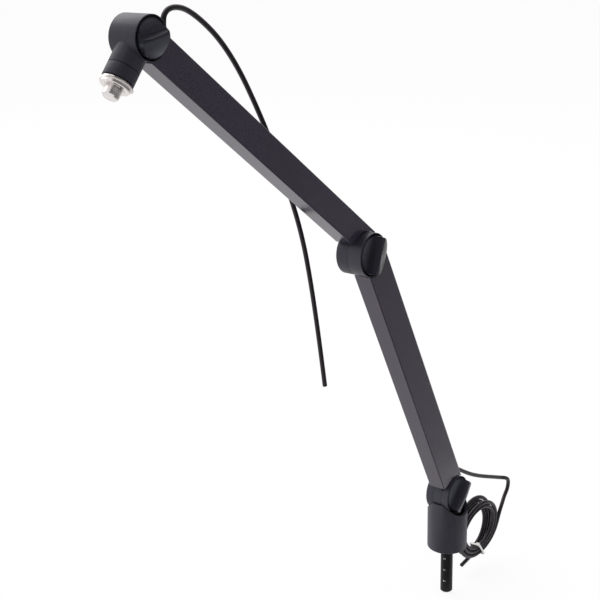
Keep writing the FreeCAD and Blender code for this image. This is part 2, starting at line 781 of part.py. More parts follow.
def round_wire(points):
    """Straight runs joined by arcs as large as the shorter run beside each corner allows."""
    edges = []
    start = points[0]
    for before, corner, after in zip(points, points[1:], points[2:]):
        reach = 0.45 * min((corner - before).Length, (after - corner).Length)
        inward = (before - corner).normalize()
        onward = (after - corner).normalize()
        arc_start = corner + inward * reach
        arc_end = corner + onward * reach
        radius = corner_radius(before, corner, after)
        bisector = (inward + onward).normalize()
        to_centre = math.hypot(radius, reach)
        middle = corner + bisector * (to_centre - radius)
        edges.append(Part.LineSegment(start, arc_start).toShape())
        edges.append(Part.Arc(arc_start, middle, arc_end).toShape())
        start = arc_end
    edges.append(Part.LineSegment(start, points[-1]).toShape())
    return Part.Wire(edges)


def lead_tube(wire):
    start = wire.Edges[0].valueAt(wire.Edges[0].FirstParameter)
    direction = wire.Edges[0].tangentAt(wire.Edges[0].FirstParameter)
    profile = Part.Wire([Part.Circle(start, direction, lead_radius).toShape()])
    return wire.makePipeShell([profile], True, False)


def print_lead(name, points, wire, solid):
    radii = [corner_radius(*triple) for triple in zip(points, points[1:], points[2:])]
    section = math.pi * lead_radius ** 2
    print(name, "length", round(wire.Length, 1), "volume ratio", round(solid.Volume / (section * wire.Length), 4),
          "radii", [round(r, 1) for r in radii])


def exit_points(x, side, z, along, run):
    """Outlet in a tube's wall, a bend inside it and a point straight outside it, in the arm's own frame."""
    lean = math.radians(exit_angle)
    direction = Vector(along * math.cos(lean), 0, math.sin(lean))
    outlet = Vector(x, side, z)
    bend = outlet - direction * (run_bend_depth / math.sin(lean))
    return outlet, bend, outlet + direction * run


def make_lead_bush(x, z, side, along, place):
    tool = exit_tool(lead_bush_diameter / 2, x, z, lead_bush_in, lead_bush_out, along)
    bore = exit_tool(lead_radius + slide_fit, x, z, lead_bush_in, lead_bush_out, along)
    sleeve = tool.cut(bore)
    sleeve.translate(Vector(0, side, 0))
    return placed(sleeve, place)


def make_inside_run(outlet, bend, far_x, place):
    points = [place.multVec(p) for p in (outlet, bend, Vector(far_x, bend.y, bend.z))]
    return lead_tube(round_wire(points))


def coil_point(turn):
    """Place on the coil after so many degrees: in loops, a step to the far layer, out loops."""
    half = 360.0 * coil_loops_per_layer
    winds = turn / 360.0 if turn < half else (2 * half - turn) / 360.0
    radius = coil_radius - coil_pitch * winds
    climb = min(max((turn - half + 90.0) / 180.0, 0.0), 1.0)
    lift = (1 - math.cos(math.pi * climb)) / 2
    angle = math.radians(turn + coil_start)
    fan = coil_fan * lift * (1 - math.cos(angle - math.radians(coil_fan_foot))) / 2
    across = -radius * math.cos(angle)
    up = -radius * math.sin(angle)
    y = coil_layer_y - coil_pitch * lift - fan + coil_lean_up * up + coil_lean_across * across
    return Vector(coil_centre_x + across, y, coil_centre_z + up)


def coil_direction(turn):
    step = 0.5
    return (coil_point(turn + step) - coil_point(turn - step)).normalize()


coil_end_turn = 720.0 * coil_loops_per_layer + coil_end - coil_start


def arc_from(start, direction, end):
    chord = end - start
    along = Vector(chord).normalize()
    side = (direction - along * direction.dot(along)).normalize()
    bow = chord.Length / 2 * math.tan(direction.getAngle(chord) / 2)
    return Part.Arc(start, start + chord * 0.5 + side * bow, end).toShape()


def biarc(start, start_direction, end, end_direction):
    """Two arcs that leave and arrive in the given directions."""
    chord = end - start
    total = start_direction + end_direction
    a = 2 * (1 - start_direction.dot(end_direction))
    b = 2 * chord.dot(total)
    reach = (-b + math.sqrt(b * b + 4 * a * chord.dot(chord))) / (2 * a)
    joint = (start + end) * 0.5 + (start_direction - end_direction) * (reach / 2)
    first = arc_from(start, start_direction, joint)
    second = arc_from(end, -end_direction, joint)
    return [first, second]


def coil_wire():
    quarters = round(coil_end_turn / 90)
    turns = [coil_end_turn * i / quarters for i in range(quarters + 1)]
    entry = coil_direction(turns[0])
    leaving = coil_direction(turns[-1])
    start = coil_point(turns[0])
    end = coil_point(turns[-1])
    edges = [Part.LineSegment(start - entry * lead_diameter, start).toShape()]
    for t0, t1 in zip(turns, turns[1:]):
        edges += biarc(coil_point(t0), coil_direction(t0), coil_point(t1), coil_direction(t1))
    edges += round_wire([end, end + leaving * coil_tail, Vector(*coil_tail_point)]).Edges
    return Part.Wire(Part.__sortEdges__(edges))


def least_gap(wire):
    """Smallest clear distance between stretches of the coil that aren't next to each other."""
    points = wire.discretize(Distance=2.0)
    apart = int(40 / 2.0)
    least = min((p - q).Length for i, p in enumerate(points) for q in points[i + apart:])
    return least - lead_diameter


def make_coil_tie():
    """Band round the bundle, a little askew, with its catch on the inner side."""
    way = math.radians(tie_angle - tie_skew)
    along = Vector(-math.cos(way), 0, -math.sin(way))
    across = Vector(math.sin(way), 0, -math.cos(way))
    first_turn = tie_angle - coil_start
    passes = [first_turn + 360 * i for i in range(int(coil_end_turn // 360) + 1)]
    passes = [turn for turn in passes if turn < coil_end_turn]
    middle = sum((coil_point(turn) for turn in passes), Vector()) * (1 / len(passes))
    places = [tie_crossing(turn, middle, across) for turn in passes]
    reaches = [(q - middle).dot(along) for q in places]
    lean = math.radians(tie_skew)
    side_clear = lead_radius / math.cos(lean) + tie_width / 2 * math.tan(lean) + tie_slack
    outer = max(reaches) + side_clear
    inner = min(reaches) - side_clear
    low = min(q.y for q in places) - lead_radius - tie_slack
    high = max(q.y for q in places) + lead_radius + tie_slack
    t = tie_thickness
    band = block(-outer - t, -inner + t, low - t, high + t, -tie_width / 2, tie_width / 2)
    upright = [e for e in band.Edges if abs(e.tangentAt(e.FirstParameter).z) > 0.9]
    band = band.makeFillet(lead_radius, upright)
    room = block(-outer, -inner, low, high, -tie_width, tie_width)
    upright = [e for e in room.Edges if abs(e.tangentAt(e.FirstParameter).z) > 0.9]
    room = room.makeFillet(lead_radius - t, upright)
    catch = block(-inner + t * 0.9, -inner + t + tie_head, high - tie_head, high + t, -tie_head / 2, tie_head / 2)
    tie = joined(band.cut(room), catch)
    tie.rotate(Vector(0, 0, 0), Vector(0, 1, 0), -(tie_angle - tie_skew))
    tie.translate(Vector(middle.x, 0, middle.z))
    return tie


def tie_crossing(turn, middle, across):
    """Place where one pass of the coil goes through the tie's plane."""
    low = turn - tie_skew
    high = turn + tie_skew
    for _ in range(40):
        half = (low + high) / 2
        same_side = (coil_point(low) - middle).dot(across) * (coil_point(half) - middle).dot(across) > 0
        low, high = (half, high) if same_side else (low, half)
    return coil_point((low + high) / 2)


def make_leads():
    lower_outlet, lower_bend, lower_out = exit_points(lower_exit, lower_side, lower_top, -1, lower_exit_run)
    upper_outlet, upper_bend, upper_out = exit_points(upper_reach - upper_exit, upper_side, upper_top, 1,
                                                      upper_exit_run)
    upper_points = [upper_place.multVec(upper_outlet), upper_place.multVec(upper_out)]
    upper_points += [Vector(*p) for p in upper_lead_points]
    upper_wire = round_wire(upper_points)
    upper_lead = lead_tube(upper_wire)
    print_lead("upper_lead", upper_points, upper_wire, upper_lead)
    wound = coil_wire()
    coil = lead_tube(wound)
    section = math.pi * lead_radius ** 2
    print("lower_coil length", round(wound.Length, 1), "volume ratio",
          round(coil.Volume / (section * wound.Length), 4), "least gap", round(least_gap(wound), 2))
    coil_entry = coil_point(0) - coil_direction(0) * lead_diameter
    lower_points = [lower_place.multVec(lower_outlet), lower_place.multVec(lower_out)]
    lower_points += [Vector(*p) for p in lower_lead_points]
    lower_points += [coil_entry - coil_direction(0) * coil_entry_run, coil_entry]
    lower_wire = round_wire(lower_points)
    lower_lead = lead_tube(lower_wire)
    print_lead("lower_lead", lower_points, lower_wire, lower_lead)
    run_end_lower = lower_plug_end - run_end_gap
    run_end_upper = upper_plug_start + run_end_gap
    return {
        "upper_lead": upper_lead,
        "lower_lead": lower_lead,
        "lower_coil": coil,
        "coil_tie": make_coil_tie(),
        "lower_lead_bush": make_lead_bush(lower_exit, lower_top, lower_side, -1, lower_place),
        "upper_lead_bush": make_lead_bush(upper_reach - upper_exit, upper_top, upper_side, 1, upper_place),
        "lower_cable_run": make_inside_run(lower_outlet, lower_bend, run_end_lower, lower_place),
        "upper_cable_run": make_inside_run(upper_outlet, upper_bend, run_end_upper, upper_place),
    }


def make_clamp_pieces():
    """Axle, cap, springs, knob and insert of the three clamp joints."""
    pieces = {}
    joints = (
        ("base", base_far_face, base_near_face, joint_radius, base_place, base_place),
        ("elbow", elbow_far_face, elbow_near_face, joint_radius, elbow_place, upper_place),
        ("head", head_far_face, head_near_face, head_radius, knob_head_place, head_place),
    )
    fins = {
        "base": (base_fin_turn, base_fin_share),
        "elbow": (elbow_fin_turn, elbow_fin_share),
        "head": (head_fin_turn, head_fin_share),
    }
    for name, far_face, near_face, radius, place, axle_place in joints:
        pieces[name + "_axle"] = placed(axle(far_face, near_face), axle_place)
        pieces[name + "_axle_cap"] = placed(axle_cap(far_face), place)
        pieces[name + "_disc_springs"] = placed(disc_springs(near_face), place)
        pieces[name + "_knob"] = placed(knob(near_face, radius, *fins[name]), place)
        pieces[name + "_knob_insert"] = placed(knob_insert(near_face), place)
    elbow_inner = elbow_seam + seam_gap / 2
    head_y0 = upper_side - head_tongue_width / 2
    pieces["base_bush"] = placed(axle_bush(base_tongue_far, base_tongue_near), base_place)
    pieces["elbow_bush"] = placed(axle_bush(elbow_inner, elbow_near_face - knob_depth - spring_stack()), elbow_place)
    pieces["head_bush"] = placed(axle_bush(head_y0, head_y0 + head_tongue_width), knob_head_place)
    washer = friction_washer(friction_washer_diameter, elbow_seam - seam_gap / 2, 1)
    pieces["elbow_friction_washer"] = placed(washer, elbow_place)
    return pieces


def main():
    os.makedirs("parts", exist_ok=True)
    pieces = {
        "spigot": make_spigot(),
        "pan_thrust_washer": make_thrust_washer(),
        "pan_washer": make_pan_washer(),
        "pan_screw": make_pan_screw(),
        "pan_bush": make_pan_bush(),
        "base_cup": make_cup(),
        "base_fork": make_fork(),
        "fork_screws": make_fork_screws(),
        "base_tongue": make_base_tongue(),
        "base_friction_washers": make_base_friction_washers(),
        "lower_tube": make_lower_tube(),
        "lower_tube_screws": make_lower_screws(),
        "elbow_near_knuckle": make_elbow_near_knuckle(),
        "elbow_far_knuckle": make_elbow_far_knuckle(),
        "upper_tube": make_upper_tube(),
        "upper_tube_screws": make_upper_screws(),
        "head_tongue": make_head_tongue(),
        "head_friction_washers": make_head_friction_washers(),
        "head_housing": make_head_housing(),
        "swivel_bush": make_swivel_bush(),
        "swivel_sleeve": make_swivel_sleeve(),
        "swivel_retainer": make_swivel_retainer(),
        "mic_stud": make_mic_stud(),
        "lock_ring": make_lock_ring(),
    }
    pieces.update(make_clamp_pieces())
    pieces.update(make_leads())
    for name, shape in pieces.items():
        shape.exportStep(os.path.join("parts", name + ".step"))
        print(name, "solids", len(shape.Solids), "volume", round(shape.Volume, 1), "valid", shape.isValid())
    print("elbow", elbow_centre, "head", head_centre)


if __name__ == "__main__":
    main()
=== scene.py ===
import json
import math

import bmesh
import bpy
from bpy.props import FloatProperty, FloatVectorProperty, IntProperty, PointerProperty
from mathutils import Matrix, Vector


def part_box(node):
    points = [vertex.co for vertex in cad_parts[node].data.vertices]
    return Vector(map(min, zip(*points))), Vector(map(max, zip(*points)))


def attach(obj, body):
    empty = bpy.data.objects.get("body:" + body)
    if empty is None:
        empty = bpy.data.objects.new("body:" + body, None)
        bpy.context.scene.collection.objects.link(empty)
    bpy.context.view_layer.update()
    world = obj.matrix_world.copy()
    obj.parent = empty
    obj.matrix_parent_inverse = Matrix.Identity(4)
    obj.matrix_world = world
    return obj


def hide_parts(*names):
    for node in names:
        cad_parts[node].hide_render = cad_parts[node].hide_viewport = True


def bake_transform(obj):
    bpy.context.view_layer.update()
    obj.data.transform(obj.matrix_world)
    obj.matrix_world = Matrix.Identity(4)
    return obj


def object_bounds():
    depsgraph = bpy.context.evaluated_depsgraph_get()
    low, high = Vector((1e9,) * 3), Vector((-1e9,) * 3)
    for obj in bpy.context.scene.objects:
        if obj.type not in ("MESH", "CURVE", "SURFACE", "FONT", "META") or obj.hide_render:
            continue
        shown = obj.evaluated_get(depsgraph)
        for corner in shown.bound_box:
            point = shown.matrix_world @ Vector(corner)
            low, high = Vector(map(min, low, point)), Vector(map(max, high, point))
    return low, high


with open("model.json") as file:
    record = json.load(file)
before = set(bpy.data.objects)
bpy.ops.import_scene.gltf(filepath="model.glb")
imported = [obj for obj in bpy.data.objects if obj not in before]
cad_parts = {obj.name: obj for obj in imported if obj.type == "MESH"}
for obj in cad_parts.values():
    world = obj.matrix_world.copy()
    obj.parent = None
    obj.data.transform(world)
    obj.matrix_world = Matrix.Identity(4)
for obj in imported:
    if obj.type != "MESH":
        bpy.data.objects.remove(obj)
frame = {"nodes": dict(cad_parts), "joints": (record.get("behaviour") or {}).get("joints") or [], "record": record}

bl_info = {
    "name": "Microphone Boom Arm",
    "version": (1, 0, 0),
    "blender": (4, 5, 0),
    "location": "View3D > Sidebar > Boom Arm",
    "description": "Finishes, edges, leads and stage of a jointed microphone boom arm",
    "category": "Object",
}

CAD_LOW, CAD_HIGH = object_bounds()
NODES = frame["nodes"]
SLOTS = {piece["node"]: piece["material_slot"] for piece in frame["record"]["subparts"]}
JOINTS = {joint["name"]: joint for joint in frame["joints"]}

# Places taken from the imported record, and the lean of the arms
BASE_AXIS = Vector(JOINTS["base_tilt"]["pos_m"])
ELBOW_AXIS = Vector(JOINTS["elbow_tilt"]["pos_m"])
HEAD_AXIS = Vector(JOINTS["head_tilt"]["pos_m"])
STUD_DIRECTION = Vector(JOINTS["head_swivel"]["axis"]).normalized()
LOWER_LEAN = math.radians(63.2)
UPPER_LEAN = math.radians(37.9)
HEAD_SIDE = -0.0098
HEAD_CENTRE = HEAD_AXIS + Vector((0, HEAD_SIDE, 0))

# Leads: the routes of the solids, in metres
UPPER_ROUTE = [
    (0.470, -0.0108, 0.7316), (0.456, -0.0128, 0.7334), (0.437, -0.0158, 0.7292), (0.411, -0.0196, 0.715),
    (0.385, -0.0232, 0.696), (0.356, -0.0274, 0.6665), (0.329, -0.0302, 0.628), (0.299, -0.032, 0.577),
    (0.270, -0.0326, 0.515), (0.253, -0.033, 0.470), (0.2412, -0.033, 0.421), (0.2316, -0.033, 0.371),
    (0.2236, -0.033, 0.324), (0.2183, -0.033, 0.2902),
]
LOWER_ROUTE = [
    (-0.0365, 0.0017, 0.0936), (-0.0544, 0.0026, 0.0829), (-0.0726, 0.0035, 0.0738), (-0.0907, 0.0043, 0.0659),
    (-0.1085, 0.0052, 0.0585), (-0.1259, 0.0062, 0.0512), (-0.1365, 0.0099, 0.0476), (-0.1437, 0.0103, 0.0428),
    (-0.146, 0.0096, 0.0348), (-0.1453, 0.0086, 0.0264), (-0.1395, 0.0074, 0.0176), (-0.1276, 0.0106, 0.0114),
]

# Outlets: place along the tube, across it and off its middle, turn of the way out, and its straight length
UPPER_OUTLET = ((0.4182 - 0.029, HEAD_SIDE, 0.0132 + 0.0155), 45.0, 0.017)
LOWER_OUTLET = ((0.022, 0.0012, 0.0221), 135.0, 0.011)

# Coil: it winds in for half its way, steps to the far layer and winds out again; turns are in degrees
COIL_CENTRE = Vector((-0.0745, 0.005, -0.0055))
COIL_TAIL = (-0.0459, -0.004, -0.0518)
COIL_RADIUS = 0.043
COIL_SPACING = 0.0058
COIL_HALF = 900.0
COIL_END = 1868.0
COIL_STEP = 180.0
COIL_START = 10.0
COIL_FAN = 0.0087
COIL_FAN_START = 130.0
COIL_LEAN_UP = 0.1
COIL_LEAN_ACROSS = 0.117
COIL_ENTRY = 0.0053 + 0.0105
COIL_LEAVING = 0.015

# Knobs: each fin's turn, and the painted highlight and painted shade of its ramp, crest, wall, valley and flat at
# their places across it, as a share of colour and specular level
FIN_PLACES = (-0.0015, 0.0, 0.003, 0.007, 0.012)
FINS = {
    "base_knob": (BASE_AXIS, 132.9, (0.5, 0.5, 0.42, 0.45, 0.8)),
    "elbow_knob": (ELBOW_AXIS, 110.0, (0.2, 0.22, 0.27, 0.22, 1.4)),
    "head_knob": (HEAD_AXIS, 171.3, (0.82, 0.36, 0.28, 0.5, 1.25)),
}

# Spigot: heights of its dimples above its foot, their bearing and distance out, and the edge of the bare spot
DIMPLE_HEIGHTS = (0.0171, 0.0336, 0.0501)
DIMPLE_BEARING = math.radians(9.0)
DIMPLE_OUT = 0.0072
DIMPLE_EDGE = (0.0014, 0.0018)

# Ring and stud: radii of the turned shapes, the small lips and edges, and the tip inward and back from the end
RING_RADIUS, RING_BORE, RING_LIP = 0.0143, 0.00905, 0.0005
RING_SHOULDER = RING_LIP * 1.6
STUD_SHANK, STUD_FLANGE, STUD_NECK, STUD_RADIUS, STUD_FACE = 0.0070, 0.0090, 0.0072, 0.0079, 0.0030
STUD_GROOVE, STUD_NECK_LENGTH, STUD_EDGE, STUD_RIDGE = 0.00115, 0.0006, 0.0002, 0.00012
STUD_TIP = ((0.0, 0.0016), (0.0011, 0.0003), (0.0015, 0.0))
THREAD_START, THREAD_END = 0.0012, 0.0020

# Stage: light of the sky on the part, and the photo's camera with its yaw, pitch and roll in degrees
SKY_LIGHT = 0.82
CAMERA_PLACE = (1.3012, 0.7864, 0.8267)
CAMERA_TURNS = (218.22, 17.69, -1.30)
CAMERA_LENS = 76.5


class BoomSizes(bpy.types.PropertyGroup):
    """Sizes of what is added to the solids"""

    edge_round: FloatProperty(
        name="Edge round", description="Rounding of the joints' visible edges",
        default=0.0005, min=0.0, max=0.002, unit="LENGTH")
    fin_round: FloatProperty(
        name="Fin round", description="Rounding of the knobs' fins",
        default=0.0007, min=0.0, max=0.002, unit="LENGTH")
    lead_diameter: FloatProperty(
        name="Lead diameter", description="Outside diameter of both leads",
        default=0.0053, min=0.003, max=0.008, unit="LENGTH")
    coil_points: IntProperty(
        name="Coil points", description="Control points in each turn of the coil",
        default=24, min=12, max=48)
    knurl_count: IntProperty(
        name="Knurl count", description="Ribs round the lock ring", default=84, min=24, max=160)
    knurl_depth: FloatProperty(
        name="Knurl depth", description="Height of the lock ring's ribs",
        default=0.00045, min=0.0001, max=0.001, unit="LENGTH")
    thread_pitch: FloatProperty(
        name="Thread pitch", description="Advance of the stud's thread in one turn",
        default=0.00094, min=0.0005, max=0.002, unit="LENGTH")


class BoomColours(bpy.types.PropertyGroup):
    """Colours of the finishes, as linear values"""

    tube: FloatVectorProperty(
        name="Tube", description="Dark anodised tube", subtype="COLOR", size=3, min=0.0, max=1.0,
        default=(0.0245, 0.0205, 0.033))
    joint: FloatVectorProperty(
        name="Joint", description="Satin charcoal of the joints", subtype="COLOR", size=3, min=0.0, max=1.0,
        default=(0.020, 0.0195, 0.029))
    knob: FloatVectorProperty(
        name="Knob", description="Moulded knobs", subtype="COLOR", size=3, min=0.0, max=1.0,
        default=(0.009, 0.009, 0.0145))
    lead: FloatVectorProperty(
        name="Lead", description="Jacket of the leads", subtype="COLOR", size=3, min=0.0, max=1.0,
        default=(0.0115, 0.0092, 0.0120))
    nickel: FloatVectorProperty(
        name="Nickel", description="Bright plating of the ring and stud", subtype="COLOR", size=3,
        min=0.0, max=1.0, default=(0.76, 0.715, 0.70))
    spigot: FloatVectorProperty(
        name="Spigot", description="Blackened steel of the spigot", subtype="COLOR", size=3, min=0.0, max=1.0,
        default=(0.0065, 0.0055, 0.006))
    tie: FloatVectorProperty(
        name="Tie", description="White nylon of the tie", subtype="COLOR", size=3, min=0.0, max=1.0,
        default=(0.82, 0.82, 0.80))


def sizes():
    return bpy.context.scene.boom_sizes


def colours():
    return bpy.context.scene.boom_colours


# Node trees
class Nodes:
    """A node tree in the making, with short ways to add and join nodes."""

    def __init__(self, tree):
        self.tree = tree

    def give(self, socket, value):
        """Sets an input to a plain value, or joins it to another node's output."""
        if isinstance(value, bpy.types.NodeSocket):
            self.tree.links.new(value, socket)
        else:
            socket.default_value = value

    def add(self, kind, **values):
        """Adds a node; each value goes to the input of its name or, where there is none, is a setting."""
        node = self.tree.nodes.new(kind)
        for name, value in values.items():
            socket = node.inputs.get(name.replace("_", " "))
            if socket is None:
                setattr(node, name, value)
            else:
                self.give(socket, value)
        return node

    def sums(self, operation, first, second):
        node = self.add("ShaderNodeMath", operation=operation)
        self.give(node.inputs[0], first)
        self.give(node.inputs[1], second)
        return node.outputs["Value"]

    def spread(self, value, low, high, from_low=0.3, from_high=0.7):
        """Takes a value from one range to another, and no further."""
        return self.add("ShaderNodeMapRange", Value=value, From_Min=from_low, From_Max=from_high,
                        To_Min=low, To_Max=high).outputs["Result"]


class ShapeTree(Nodes):
    """A geometry tree with named inputs, which ends real and coated."""

    def __init__(self, name, **inputs):
        super().__init__(bpy.data.node_groups.new(name, "GeometryNodeTree"))
        face = self.tree.interface
        for title, kind in {"Geometry": "Geometry", **inputs, "Material": "Material"}.items():
            face.new_socket(title, in_out="INPUT", socket_type="NodeSocket" + kind)
        face.new_socket("Geometry", in_out="OUTPUT", socket_type="NodeSocketGeometry")
        self.given = self.add("NodeGroupInput").outputs

    def ended(self, *shapes):
        both = self.add("GeometryNodeJoinGeometry")
        for shape in shapes:
            self.give(both.inputs["Geometry"], shape)
        real = self.add("GeometryNodeRealizeInstances", Geometry=both.outputs["Geometry"])
        coat = self.add("GeometryNodeSetMaterial", Geometry=real.outputs["Geometry"],
                        Material=self.given["Material"])
        self.add("NodeGroupOutput", Geometry=coat.outputs["Geometry"])
        return self.tree


class Finish(Nodes):
    """A material in the making: one shader and the textures that feed it."""

    def __init__(self, name):
        self.material = bpy.data.materials.new(name)
        self.material.use_nodes = True
        super().__init__(self.material.node_tree)
        self.tree.nodes.clear()
        self.shader = self.add("ShaderNodeBsdfPrincipled")
        self.add("ShaderNodeOutputMaterial", Surface=self.shader.outputs["BSDF"])
        self.place = self.add("ShaderNodeTexCoord").outputs["Object"]

    def set(self, **values):
        """Sets the shader's inputs, to plain values or from other nodes."""
        for name, value in values.items():
            self.give(self.shader.inputs[name.replace("_", " ")], value)

    def turned(self, turn=(0, 0, 0), stretch=(1, 1, 1)):
        """Places turned into a piece's own directions, then stretched along them."""
        own = self.add("ShaderNodeMapping", Rotation=turn, Vector=self.place)
        drawn = self.add("ShaderNodeMapping", Scale=stretch, Vector=own.outputs["Vector"])
        return drawn.outputs["Vector"]

    def noise(self, vector, scale, detail=2.0, rough=0.5):
        return self.add("ShaderNodeTexNoise", Scale=scale, Detail=detail, Roughness=rough,
                        Vector=vector).outputs["Fac"]

    def vectors(self, operation, first, second=(0, 0, 0)):
        node = self.add("ShaderNodeVectorMath", operation=operation)
        self.give(node.inputs[0], first)
        self.give(node.inputs[1], second)
        return node.outputs["Value" if operation in ("DOT_PRODUCT", "LENGTH", "DISTANCE") else "Vector"]

    def blend(self, share, first, second):
        node = self.add("ShaderNodeMix", data_type="RGBA", Factor=share)
        ends = [socket for socket in node.inputs if socket.type == "RGBA"]
        for socket, value in zip(ends, (first, second)):
            self.give(socket, value)
        return next(socket for socket in node.outputs if socket.type == "RGBA")

    def mottled(self, share, colour, low, high):
        """A colour that wanders between a darker and a lighter share of itself."""
        return self.blend(share, scaled(colour, low), scaled(colour, high))

    def stops(self, value, places, tones):
        """Runs a value through tones that are set at places along it."""
        node = self.add("ShaderNodeFloatCurve")
        margin = 0.02
        low, high = places[0] - margin, places[-1] + margin
        curve = node.mapping.curves[0]
        for end, place in zip(curve.points, ((0.0, tones[0]), (1.0, tones[-1]))):
            end.location = place
        for place, tone in zip(places, tones):
            curve.points.new((place - low) / (high - low), tone)
        for point in curve.points:
            point.handle_type = "AUTO_CLAMPED"
        node.mapping.update()
        self.give(node.inputs["Value"], self.spread(value, 0.0, 1.0, low, high))
        return node.outputs["Value"]

    def bumps(self, height, depth, strength):
        bump = self.add("ShaderNodeBump", Strength=strength, Distance=depth, Height=height)
        self.set(Normal=bump.outputs["Normal"])


# Materials
def scaled(colour, share):
    return tuple(min(1.0, channel * share) for channel in colour) + (1.0,)


def anodised(name, colour, lean):
    """Bead-blasted anodised tube: fine grain, faint draw lines along the tube and slow tone changes."""
    finish = Finish(name)
    grain = finish.noise(finish.place, 2600, detail=3.0, rough=0.65)
    speckle = finish.noise(finish.place, 900)
    lines = finish.noise(finish.turned(turn=(0, lean, 0), stretch=(0.03, 1, 1)), 420)
    slow = finish.noise(finish.place, 14)
    tone = finish.sums("ADD", finish.sums("MULTIPLY", slow, 0.45), finish.sums("MULTIPLY", speckle, 0.55))
    finish.set(
        Base_Color=finish.mottled(finish.spread(tone, 0.0, 1.0, 0.38, 0.62), colour, 0.92, 1.08),
        Roughness=finish.sums("ADD", finish.spread(grain, 0.16, 0.25), finish.spread(lines, -0.03, 0.03)),
        IOR=1.62, Specular_Tint=(0.97, 0.85, 1.0, 1.0))
    finish.bumps(finish.sums("ADD", grain, finish.sums("MULTIPLY", lines, 0.35)), 0.00003, 0.3)
    return finish.material


def satin_turned(name, colour, axis, lines_share=0.5, gloss=1.58):
    """Satin coat over turned metal, with faint tool lines round the axis."""
    finish = Finish(name)
    stretch = tuple(1.0 if letter == axis else 0.004 for letter in "XYZ")
    rings = finish.noise(finish.turned(stretch=stretch), 900, detail=3.0)
    grain = finish.noise(finish.place, 1900, detail=3.0, rough=0.6)
    slow = finish.noise(finish.place, 30)
    tone = finish.sums("ADD", finish.sums("MULTIPLY", rings, 0.5), finish.sums("MULTIPLY", slow, 0.5))
    finish.set(
        Base_Color=finish.mottled(finish.spread(tone, 0.0, 1.0, 0.36, 0.64), colour, 0.8, 1.2),
        Roughness=finish.spread(grain, 0.42, 0.54), IOR=gloss, Specular_Tint=(0.9, 0.88, 1.0, 1.0))
    finish.bumps(finish.sums("ADD", grain, finish.sums("MULTIPLY", rings, lines_share)), 0.00004, 0.45)
    return finish.material


def moulded(name, colour, fin=None):
    """Moulded plastic with an even spark-eroded grain; across a fin, painted highlight and painted shade make its
    colour and specular level lighter and darker by turns.
    """
    finish = Finish(name)
    grain_size = 0.0006
    cells = finish.add("ShaderNodeTexVoronoi", feature="SMOOTH_F1", Scale=1.0 / grain_size, Smoothness=0.6,
                       Vector=finish.place)
    slow = finish.noise(finish.place, 45, detail=3.0)
    fine = finish.noise(finish.place, 2400)
    tone = finish.spread(slow, 0.3, 0.7)
    if fin:
        centre, radius, turn, shine = fin
        across = Vector((math.sin(math.radians(turn)), 0.0, -math.cos(math.radians(turn))))
        local = finish.vectors("SUBTRACT", finish.place, centre)
        reach = finish.vectors("DOT_PRODUCT", local, across)
        away = finish.vectors("LENGTH", finish.vectors("MULTIPLY", local, (1.0, 0.0, 1.0)))
        skirt = finish.spread(away, 1.0, 0.3, radius * 0.92, radius * 0.96)
        # Painted highlight and painted shade across the fin, faded towards the skirt: they set the specular level
        # and lighten or darken the colour
        painted_shade_and_highlight = finish.sums("MULTIPLY", finish.stops(reach, FIN_PLACES, shine), skirt)
        finish.set(Specular_IOR_Level=painted_shade_and_highlight)
        tone = finish.sums("MULTIPLY", tone, finish.sums("ADD", painted_shade_and_highlight, 0.5))
    finish.set(Base_Color=finish.mottled(tone, colour, 0.65, 1.35), Roughness=finish.spread(fine, 0.3, 0.42),
               IOR=1.9, Specular_Tint=(0.8, 0.8, 1.0, 1.0))
    finish.bumps(cells.outputs["Distance"], 0.00004, 0.5)
    return finish.material


def jacket(name, colour):
    """Extruded cable jacket: satin, with faint flow marks and dust."""
    finish = Finish(name)
    slow = finish.noise(finish.place, 60, detail=3.0)
    fine = finish.noise(finish.place, 1800, detail=3.0, rough=0.6)
    finish.set(Base_Color=finish.mottled(finish.spread(slow, 0.0, 1.0), colour, 0.75, 1.4),
               Roughness=finish.spread(fine, 0.32, 0.45), IOR=1.4, Specular_Tint=(1.0, 0.88, 1.0, 1.0))
    finish.bumps(fine, 0.00004, 0.4)
    return finish.material


def plated(name, colour, rough, metallic=1.0):
    """Bright plated metal with fine turning lines and a little haze."""
    finish = Finish(name)
    rings = finish.noise(finish.turned(stretch=(0.01, 0.01, 1)), 2600)
    haze = finish.noise(finish.place, 260, detail=3.0)
    finish.set(Base_Color=finish.mottled(finish.spread(haze, 0.0, 1.0), colour, 0.9, 1.08),
               Roughness=finish.spread(haze, *rough), Metallic=metallic)
    finish.bumps(rings, 0.00002, 0.3)
    return finish.material


def blackened_spigot(name, colour, bright):
    """Blackened steel whose drilled dimples are bare metal."""
    finish = Finish(name)
    rings = finish.noise(finish.turned(stretch=(0.01, 0.01, 1)), 1500)
    grain = finish.noise(finish.place, 1600, detail=3.0)
    dark = finish.mottled(finish.spread(rings, 0.0, 1.0), colour, 0.7, 1.5)
    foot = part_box("spigot")[0].z
    out = Vector((math.cos(DIMPLE_BEARING), math.sin(DIMPLE_BEARING), 0)) * DIMPLE_OUT
    spots = []
    for height in DIMPLE_HEIGHTS:
        away = finish.vectors("DISTANCE", finish.place, out + Vector((0, 0, foot + height)))
        spots.append(finish.spread(away, 1.0, 0.0, *DIMPLE_EDGE))
    bare = spots[0]
    for spot in spots[1:]:
        bare = finish.sums("MAXIMUM", bare, spot)
    rough = finish.sums("SUBTRACT", finish.spread(grain, 0.36, 0.5), finish.sums("MULTIPLY", bare, 0.2))
    finish.set(Base_Color=finish.blend(bare, dark, scaled(bright, 1.0)), Metallic=bare, Roughness=rough,
               IOR=1.3)
    finish.bumps(grain, 0.00004, 0.4)
    return finish.material


